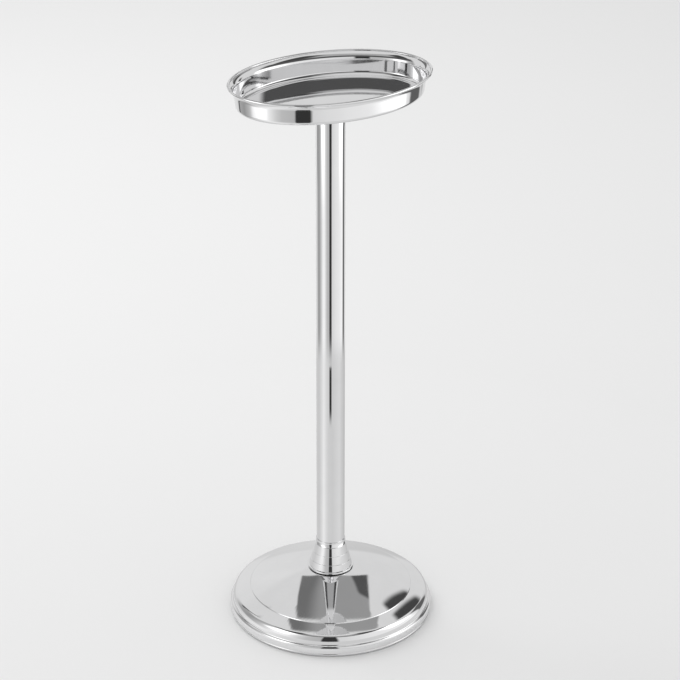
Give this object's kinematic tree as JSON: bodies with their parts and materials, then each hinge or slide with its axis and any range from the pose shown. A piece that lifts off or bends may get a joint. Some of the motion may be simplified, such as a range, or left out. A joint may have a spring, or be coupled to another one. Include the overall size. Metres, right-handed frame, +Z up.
{
  "type": "pedestal bucket stand",
  "caption": "Free-standing polished metal pedestal: a shallow oval pan with a rolled lip on a round tube, with a stepped collar and a weighted domed base.",
  "frame": {"origin": "on the floor, on the tube's axis, at the middle of the felt pad's underside", "axes": "+Z up along the tube, +X along the oval pan's long axis, +Y along its short axis"},
  "size_m": [0.2296, 0.2296, 0.641],
  "materials": {
    "polished_plate": "polished bright plate",
    "steel": "turned and pressed steel, plain",
    "zinc_hardware": "zinc-plated hardware",
    "cast_weight": "rough casting, black",
    "rubber": "matt rubber",
    "fibre": "pressed fibre",
    "felt": "dense felt"
  },
  "bodies": {
    "root": {"tray": "polished_plate", "rim_wire": "steel", "tray_mount_plate": "polished_plate", "tray_stud": "zinc_hardware", "tray_washer": "fibre", "tray_ferrule": "polished_plate", "top_plug": "steel", "bottom_plug": "steel", "pole_tube": "polished_plate", "collar": "polished_plate", "collar_o_ring": "rubber", "collar_gasket": "rubber", "base_shell": "polished_plate", "base_hub": "steel", "base_weight": "cast_weight", "base_bolt": "zinc_hardware", "bolt_flat_washer": "zinc_hardware", "bolt_spring_washer": "zinc_hardware", "bottom_plate": "steel", "plate_screws": "zinc_hardware", "felt_pad": "felt"}
  },
  "joints": []
}
